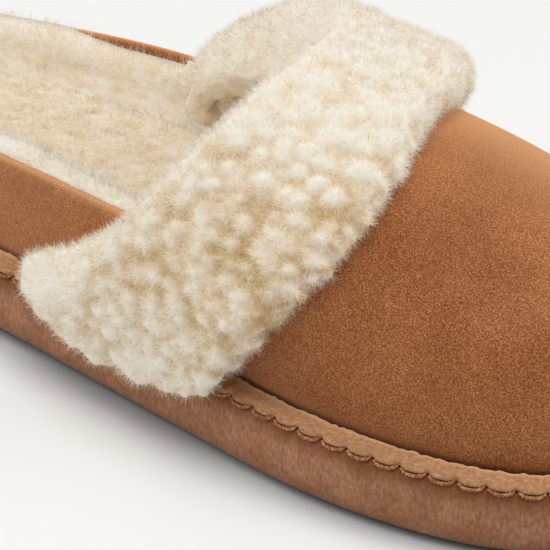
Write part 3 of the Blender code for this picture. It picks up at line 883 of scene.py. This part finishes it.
# Lining
# The same hide lines the inside of the heel wall and the vamp, wool side in. It is cemented to the
# suede, rounds over to the top of the heel wall, and ends at the throat under the cuff.
LINING_THICK = 5.5 * MM
THICK_MEDIAL, THICK_LATERAL = 7.0 * MM, 11.5 * MM
ROUND_MEDIAL, ROUND_LATERAL = 0.15, 0.60
LINING_FLARE = 7.0 * MM
PALE_MEDIAL, PALE_LATERAL = 0.03, 0.04
LINING_ROWS = 24
LINING_VAMP_ROWS = 20
LOW_BACK_FROM, LOW_BACK_TO = 0.19, 0.27
LOW_FRONT_FROM, LOW_FRONT_TO = 0.37, 0.33
LINING_LOW = 0.06
LINING_OVER = 0.8 * MM
LINING_COVER = 1.5 * MM
LAP_FROM = 0.8
LATERAL_BLEND = 0.3
CORNER_COLUMNS = 8
LINING_FIBRES = 23000
LINING_FIBRE = 4.0 * MM
LINING_FIBRE_SEED = 22
LINING_UPRIGHT, LINING_TANGLE, LINING_COMBED = 0.8, 0.6, (0, 0, 0.3)
SHOE_MIDDLE = (LENGTH / 2, 0, 60 * MM)
INNER_SHARPNESS = 3


def lining_surface():
    """The last's own grid from the footbed up, as two sheets inside the hide, with rows closer below.

    The inner sheet flares out into the footbed as a quarter of a circle. Along the heel wall it rounds
    over to the outer one as a quarter of an ellipse, and both lap over the edge of the hide: as a thick
    roll on the lateral side, as a long slope on the medial one. There, close to the cuff, they stop
    below the edge. Points carry how pale their wool is, as the square root of the way out of the flare.
    """
    wall_u, wall_v, vamp_u, vamp_v = upper_grid(LINING_ROWS, LINING_VAMP_ROWS)
    foot = last(wall_u[0], wall_v[0], -WALL)
    start = share_at_height(wall_u[0], footbed_top(foot[:, 0]) - 2 * FOOTBED_SINK, -WALL)
    share = (wall_v / wall_v[-1]) ** 2
    column = np.arange(wall_u.shape[1])
    from_corner = np.minimum(column - vamp_u.shape[1] + 1, wall_u.shape[1] - 1 - column)
    heel = smoothstep(0, CORNER_COLUMNS, from_corner)
    station = station_of(wall_u[0])
    low = smoothstep(LOW_BACK_FROM, LOW_BACK_TO, station) * (np.sin(wall_u[0]) < 0)
    low = low * smoothstep(LOW_FRONT_FROM, LOW_FRONT_TO, station)
    wall_v = start + (wall_v[-1] * (1 - LINING_LOW * low) - start) * share
    lap = heel * (1 - low) * smoothstep(LAP_FROM, 1, share)
    lateral = smoothstep(-LATERAL_BLEND, LATERAL_BLEND, np.sin(wall_u[0]))
    round_from = ROUND_MEDIAL + (ROUND_LATERAL - ROUND_MEDIAL) * lateral
    thick = THICK_MEDIAL + (THICK_LATERAL - THICK_MEDIAL) * lateral
    thick = LINING_THICK + (thick - LINING_THICK) * heel
    turn = np.clip((share - round_from) / (1 - round_from), 0, 1)
    round_over = 1 - heel * (1 - np.sqrt(1 - turn ** 2))
    depth = WALL + GAP - LINING_COVER * lap
    outer = [last(wall_u, wall_v, -depth), last(vamp_u, vamp_v, -WALL - GAP)]
    above = outer[0][..., 2] - footbed_top(outer[0][..., 0]) + FOOTBED_SINK
    near_wall = np.sqrt(1 - (1 - np.clip(above / LINING_FLARE, 0, 1)) ** 2)
    pale = np.sqrt((PALE_MEDIAL + (PALE_LATERAL - PALE_MEDIAL) * lateral) * near_wall)
    inner = [
        last(wall_u, wall_v, -depth - (thick - GAP) * round_over - LINING_FLARE * (1 - near_wall)),
        last(vamp_u, vamp_v, -WALL - LINING_THICK),
    ]
    sheets = []
    for wall, vamp in (outer, inner):
        wall[..., 2] += LINING_OVER * lap
        sheets += [np.dstack([wall, pale]), np.dstack([vamp, np.zeros(vamp.shape[:2])])]
    foot = np.stack([sheets[0][0], sheets[2][0]])
    edge = np.stack([throat_loop(*sheets[:2]), throat_loop(*sheets[2:])])
    return [*sheets, foot, edge]


def read_value(made, name):
    """One value per point of a piece, by the attribute's name."""
    values = np.empty(len(made.data.vertices), np.float32)
    made.data.attributes[name].data.foreach_get("value", values)
    return values.astype(float)


points, quads = join(*lining_surface())
lining = piece("lining", inside_wool, points[:, :3], quads, pale=points[:, 3])
wool_points, wool_normals, _ = mesh_arrays(lining)
facing_in = (wool_normals * unit(SHOE_MIDDLE - wool_points)).sum(axis=1)
inner_side = np.clip(facing_in * INNER_SHARPNESS, 0, 1)
wool_height = short_pile(wool_points)
wool_pile = BED_PILE + read_value(lining, "pale") + TUFT_PALE * wool_height
push_out(lining, TUFT_HEIGHT * wool_height * inner_side, wool_pile)
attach(lining, "root")

open_part = np.maximum(inner_side, wool_normals[:, 2]) * (wool_points[:, 0] < OPEN_TO)
roots, normals, read, _, generator = scatter(lining, LINING_FIBRES, open_part, LINING_FIBRE_SEED)
tangle = generator.normal(0, LINING_TANGLE, normals.shape)
ways = unit(LINING_UPRIGHT * normals + tangle + LINING_COMBED)
lining_fibres = fibres("lining_fibres", inside_hair, roots, normals, ways, LINING_FIBRE,
                       read(wool_pile), generator)

# Cuff
# The lining's long wool is turned back over the throat as a wide band across the instep, and caught
# down at both sides. It stands in soft locks, smooth along the fold and ragged along its hem.
CUFF_REACH = 105 * MM
CUFF_DOME = 0.16
DOME_POWER = 6
CUFF_SINK = 1.4 * MM
CUFF_ROLL = 10.0 * MM
ROLL_FROM, ROLL_TO = -0.30, -0.10
ROLL_AHEAD, ROLL_BEHIND = 1.5 * MM, -0.5 * MM
HEM_CORNER_LIFT = 0.045
HEM_CORNER_POWER = 3
HEM_CORNER_END = 0.8
HEM_MIDDLE_DROP = 0.025
HEM_DROP_FROM, HEM_DROP_TO = 0.4, 0.75
HEM_FADE = 4
FOLD_HANG = 0.8
EDGE_ROUND = 6.0 * MM
FRONT_BULGE = -0.6 * MM
BACK_BULGE = 1.2 * MM
CUFF_ACROSS = 340
ARC_STEPS = 24
TOP_STEPS = 84
UNDER_STEPS = 18
HEM_STEPS = 16
EDGE_LOBE = 1.0 * MM
LONG_LOBE, SHORT_LOBE = 9.3 * MM, 5.6 * MM
LONG_LOBE_SHARE = 0.6
LOBE_PHASE = 1
LOCK = 4.3 * MM
LOCK_HEIGHT = 2.8 * MM
LOCK_MEAN = 0.65
LOCK_SQUEEZE = np.array([0.82, 0.95, 1.14])
SMALL_LOCK = 2.5 * MM
SMALL_LOCK_SHARE = 0.25
LOCK_SEED, SMALL_LOCK_SEED = 15, 16
PILE_MEAN, PILE_CONTRAST, FOLD_PALE = 0.5, 1.4, 0.42
TOP_PALE, TOP_HEIGHT = 0.25, (55 * MM, 75 * MM)
HEM_PALE, HEM_PALE_HEIGHT = 0.25, (36 * MM, 18 * MM)
CALM_FOLD, CALM_TOP = 0.4, 0.3
CALM_FROM, CALM_TO = 0.0, 0.28
LOCK_FIBRES = 44000
LOCK_FIBRE = 2.8 * MM
LOCK_FIBRE_SEED = 31
LOCK_FAN, LOCK_TANGLE = 0.8, 0.35
CUFF_FIBRES = 26000
CUFF_FIBRE = 2.7 * MM
CUFF_FIBRE_SEED = 33
CUFF_TANGLE = 0.6
HALVES_OVERLAP = 2 * MM

# The cuff over the arch of the foot: across is -1 at the lateral hem, 0 at the ridge, 1 at the medial
# hem; back and front are its edges as stations on the outline, depth is its pile in mm
CUFF = np.array([
    # across  back   front  depth
    (-1.00, 0.394, 0.634, 11.0),
    (-0.92, 0.442, 0.652, 11.6),
    (-0.85, 0.473, 0.668, 12.0),
    (-0.73, 0.506, 0.692, 12.5),
    (-0.50, 0.541, 0.727, 13.0),
    (-0.25, 0.564, 0.743, 13.5),
    (0.00, 0.560, 0.734, 13.5),
    (0.25, 0.500, 0.687, 13.0),
    (0.50, 0.422, 0.638, 12.5),
    (0.73, 0.361, 0.600, 12.0),
    (0.85, 0.338, 0.585, 12.0),
    (1.00, 0.315, 0.570, 11.0),
])

# The hem through the pile, from the upper outwards: share of the depth, and rise over the feather line
HEM = np.array([
    # level  rise
    (0.00, 0.035),
    (0.50, 0.018),
    (0.78, -0.022),
    (0.92, -0.018),
    (1.00, 0.010),
])


def lobes(way):
    """Uneven edge of the pile along its way: two waves of unlike length."""
    long_wave = np.sin(2 * np.pi * way / LONG_LOBE)
    short_wave = np.sin(2 * np.pi * way / SHORT_LOBE + LOBE_PHASE)
    return EDGE_LOBE * (LONG_LOBE_SHARE * long_wave + (1 - LONG_LOBE_SHARE) * short_wave)


def cuff_point(across, run, level):
    """A place in the cuff: across the arch, run in metres from its back edge, level over the upper.

    Near the hem its share up the last changes by the hem's rise through the pile, lifted at both
    corners and dropped in the middle. Shares below the feather line hang straight down.
    """
    side = np.where(across > 0, -1.0, 1.0)
    back, front, depth = (through(across, CUFF, i) for i in (1, 2, 3))
    along = np.clip(run / ((front - back) * LENGTH), 0, 1)
    from_middle = np.abs(2 * along - 1)
    out = level / (depth * MM)
    lift = HEM_CORNER_LIFT * np.minimum(from_middle, HEM_CORNER_END) ** HEM_CORNER_POWER
    drop = HEM_MIDDLE_DROP * (1 - from_middle ** 2) * smoothstep(HEM_DROP_FROM, HEM_DROP_TO, out)
    hem = through(out, HEM, 1) + lift - drop
    share = 1 - np.abs(across) + hem * np.abs(across) ** HEM_FADE
    points = last(side * angle_of(back + run / LENGTH), np.clip(share, 0, 1), level)
    hang = FOLD_HANG * across ** 2 * np.minimum(level, 0)
    points[..., 2] += np.minimum(share, 0) * CUFF_REACH + hang
    return points


def cuff_section(across):
    """Loop around the cuff at each place across: front edge up, top, back fold down, underside.

    Front and back are half ellipses; behind the throat the underside steps down into the shoe.
    """
    back, front, depth = (through(across, CUFF, i)[:, None] for i in (1, 2, 3))
    width = (front - back) * LENGTH
    side = np.where(across > 0, -1.0, 1.0)
    corner = np.where(across > 0, THROAT_MEDIAL, THROAT_LATERAL)
    wall_share = share_at_height(side * angle_of(corner), wall_top(angle_of(corner)))
    rim_share = (1 - np.abs(across) - wall_share) / (1 - wall_share)
    edge = (throat(np.clip(rim_share, 0, 1), corner)[:, None] - back) * LENGTH
    roll = CUFF_ROLL * smoothstep(ROLL_FROM, ROLL_TO, rim_share)[:, None]

    pile = depth * MM - CUFF_SINK
    turn = np.linspace(-np.pi / 2, np.pi / 2, ARC_STEPS + 1)
    front_bulge = FRONT_BULGE + lobes(across * CUFF_REACH)[:, None]
    front_run = width - EDGE_ROUND + (EDGE_ROUND + front_bulge) * np.cos(turn)
    front_level = pile / 2 * (1 + np.sin(turn)) + GAP * (1 - np.sin(turn)) / 2
    share = np.linspace(0, 1, TOP_STEPS + 1)[1:-1]
    top_run = (width - EDGE_ROUND) + (2 * EDGE_ROUND - width) * share
    top_level = np.broadcast_to(pile, top_run.shape)
    back_level = (pile - roll) / 2 - (pile + roll) / 2 * np.sin(turn)
    back_run = np.broadcast_to(EDGE_ROUND - (EDGE_ROUND + BACK_BULGE) * np.cos(turn), back_level.shape)
    share = np.linspace(0, 1, UNDER_STEPS + 1)[1:]
    under_run = EDGE_ROUND + (width - 2 * EDGE_ROUND) * share
    under_level = GAP - (roll + GAP) * smoothstep(ROLL_AHEAD, ROLL_BEHIND, under_run - edge)
    run = np.concatenate([front_run, top_run, back_run, under_run], axis=1)
    level = np.concatenate([front_level, top_level, back_level, under_level], axis=1)
    from_middle = np.abs(2 * np.clip(run / width, 0, 1) - 1)
    return run, level * (1 - CUFF_DOME * from_middle ** DOME_POWER * (level > 0)), run / width


def hem_cap(across, run, level):
    """Bars through the pile that close one end of the cuff, from its top to its underside."""
    count = ARC_STEPS + TOP_STEPS + ARC_STEPS
    outer_run, outer_level = run[:count], level[:count]
    inner_run = np.linspace(outer_run[0], outer_run[-1], count)
    share = np.linspace(0, 1, HEM_STEPS + 1)[:, None]
    bar_run = outer_run + (inner_run - outer_run) * share
    bar_level = outer_level + (GAP - outer_level) * share
    return cuff_point(np.full_like(bar_run, across), bar_run, bar_level)


def cuff_surface():
    """The cuff's closed form; points carry their share of the way from fold to front, and 1 if bare."""
    across = np.linspace(-1, 1, CUFF_ACROSS + 1)
    run, level, along = cuff_section(across)
    tube = cuff_point(np.broadcast_to(across[:, None], run.shape), run, level)
    bare = np.broadcast_to(np.arange(run.shape[1]) >= run.shape[1] - UNDER_STEPS, run.shape)
    grids = [np.dstack([tube, along, bare])]
    for end in (0, -1):
        cap = hem_cap(across[end], run[end], level[end])
        cap_along = np.broadcast_to(along[end, :cap.shape[1]], cap.shape[:2])
        grids.append(np.dstack([cap, cap_along, np.zeros(cap.shape[:2])]))
    return grids


cuff_tones = ("#c8a673", "#ead5b5", "#fcf0e0")
cuff_wool = fleece("long fleece", WOOL_SOFT, *cuff_tones)
cuff_hair = fleece("loose fibres of the cuff", HAIR_SOFT, *cuff_tones)
points, quads = join(*cuff_surface())
cuff = piece("cuff_body", cuff_wool, points[:, :3], quads, along=points[:, 3], bare=points[:, 4])
along, bare = read_value(cuff, "along"), read_value(cuff, "bare")
cuff_points, calm_normals, _ = mesh_arrays(cuff)
lock_height, lock_number = tufts(cuff_points * LOCK_SQUEEZE, LOCK, LOCK_SEED)
small_height, _ = tufts(cuff_points * LOCK_SQUEEZE, SMALL_LOCK, SMALL_LOCK_SEED)
cuff_height = (1 - SMALL_LOCK_SHARE) * lock_height + SMALL_LOCK_SHARE * small_height
top = smoothstep(*TOP_HEIGHT, cuff_points[:, 2])
lively = (CALM_FOLD + (1 - CALM_FOLD) * smoothstep(CALM_FROM, CALM_TO, along)) * (1 - CALM_TOP * top)
cuff_height = LOCK_MEAN + (cuff_height - LOCK_MEAN) * lively
pale = TOP_PALE * top + HEM_PALE * smoothstep(*HEM_PALE_HEIGHT, cuff_points[:, 2])
calm_pile = PILE_MEAN + PILE_CONTRAST * (cuff_height - LOCK_MEAN) + FOLD_PALE * (1 - lively) + pale
push_out(cuff, LOCK_HEIGHT * (cuff_height - LOCK_MEAN) * (1 - bare), calm_pile)
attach(cuff, "root")
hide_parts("cuff")

# Fibres of the locks fan out from the tip of their own lock; the rest stand out as a loose fuzz
order = np.lexsort((-lock_height, lock_number))
numbers, first = np.unique(lock_number[order], return_index=True)
lock_tip = mesh_arrays(cuff)[0][order[first]]
roots, normals, read, nearest, generator = scatter(cuff, LOCK_FIBRES, 1 - bare, LOCK_FIBRE_SEED)
fan = (roots - lock_tip[np.searchsorted(numbers, lock_number[nearest])]) / LOCK
ways = unit(normals + LOCK_FAN * fan + generator.normal(0, LOCK_TANGLE, normals.shape))
locks = fibres("cuff_locks", cuff_hair, roots, read(calm_normals), ways, LOCK_FIBRE,
               read(calm_pile), generator)
for half, sign in (("lateral", -1), ("medial", 1)):
    where = (1 - bare) * (cuff_points[:, 1] * sign > -HALVES_OVERLAP)
    roots, normals, read, _, generator = scatter(cuff, CUFF_FIBRES, where, CUFF_FIBRE_SEED + sign)
    ways = unit(normals + generator.normal(0, CUFF_TANGLE, normals.shape))
    fuzz = fibres("cuff_fibres_" + half, cuff_hair, roots, read(calm_normals), ways, CUFF_FIBRE,
                  read(calm_pile), generator)

# Floor
# A plain pale studio floor, matt, with the faintest unevenness.
FLOOR_SIZE = 3.0
FLOOR_DROP = 0.1 * MM
CONTACT_REACH = 11 * MM


def pale_floor():
    """Matt white paint: almost even, so that only the shadow shows, deepest where the sole touches down."""
    material, tree, shader, place = new_material("matt white floor")
    cloud = node(tree, "TexNoise", "Fac", {"Vector": place, "Scale": per_metre(400 * MM)})
    tone = node(tree, "ValToRGB", "Color", {"Fac": cloud}, stops=((0.3, "#ededec"), (0.7, "#efefee")))
    # Painted contact shadow: ambient occlusion darkens the floor's colour towards #a9b2b5 close to the sole.
    clear = node(tree, "AmbientOcclusion", "AO", {"Distance": CONTACT_REACH}, samples=8)
    shaded = node(tree, "Mix", "Result", {
        "Factor": clear, "A": colour("#a9b2b5"), "B": tone}, data_type="RGBA")
    plug(shader, {"Base Color": shaded, "Roughness": 0.9, "Specular IOR Level": 0.1})
    return material


edge = np.array([-FLOOR_SIZE, FLOOR_SIZE])
corner_x, corner_y = np.meshgrid(edge, edge)
floor_grid = np.stack([corner_x, corner_y, np.full_like(corner_x, -FLOOR_DROP)], axis=-1)
floor = piece("floor", pale_floor(), *join(floor_grid))

# Light
# A broad soft box overhead, weaker ones behind the toe and low on the left, and an even pale
# surround. Powers are in watts, places in metres.
SURROUND = 0.36
BOX_SIZE = 1.0

world = bpy.data.worlds.new("studio")
world.use_nodes = True
surround = world.node_tree.nodes["Background"]
surround.inputs["Color"].default_value = colour("#ffffff")
surround.inputs["Strength"].default_value = SURROUND
bpy.context.scene.world = world
for name, power, place in (
    ("overhead soft box", 10.0, Vector((0.20, -0.05, 1.35))),
    ("back soft box", 6.0, Vector((1.05, 0.60, 0.70))),
    ("left soft box", 7.2, Vector((-1.10, -0.50, 0.60))),
):
    box = bpy.data.lights.new(name, "AREA")
    box.size = BOX_SIZE
    box.energy = power
    box_object = bpy.data.objects.new(name, box)
    box_object.location = place
    box_object.rotation_mode = "QUATERNION"
    box_object.rotation_quaternion = (-place).to_track_quat("-Z", "Y")
    bpy.context.collection.objects.link(box_object)
bpy.context.scene.view_settings.view_transform = "Standard"

# Camera
# A long lens from the toe's lateral side, a little above, framed as close as the photograph.
CAMERA_AZIMUTH = np.radians(39.15)
CAMERA_ELEVATION = np.radians(28.42)
CAMERA_DISTANCE = 800 * MM
CAMERA_TARGET = Vector((170.63 * MM, -35.29 * MM, 40 * MM)) - Vector(ORIGIN)
CAMERA_LENS = 251.9
SENSOR_WIDTH = 36

back = Vector((
    np.sin(CAMERA_AZIMUTH) * np.cos(CAMERA_ELEVATION),
    -np.cos(CAMERA_AZIMUTH) * np.cos(CAMERA_ELEVATION),
    np.sin(CAMERA_ELEVATION),
))
camera = bpy.data.cameras.new("camera")
camera.sensor_width = SENSOR_WIDTH
camera.lens = CAMERA_LENS
camera_object = bpy.data.objects.new("camera", camera)
camera_object.location = CAMERA_TARGET + back * CAMERA_DISTANCE
camera_object.rotation_mode = "QUATERNION"
camera_object.rotation_quaternion = (-back).to_track_quat("-Z", "Y")
bpy.context.collection.objects.link(camera_object)
bpy.context.scene.camera = camera_object
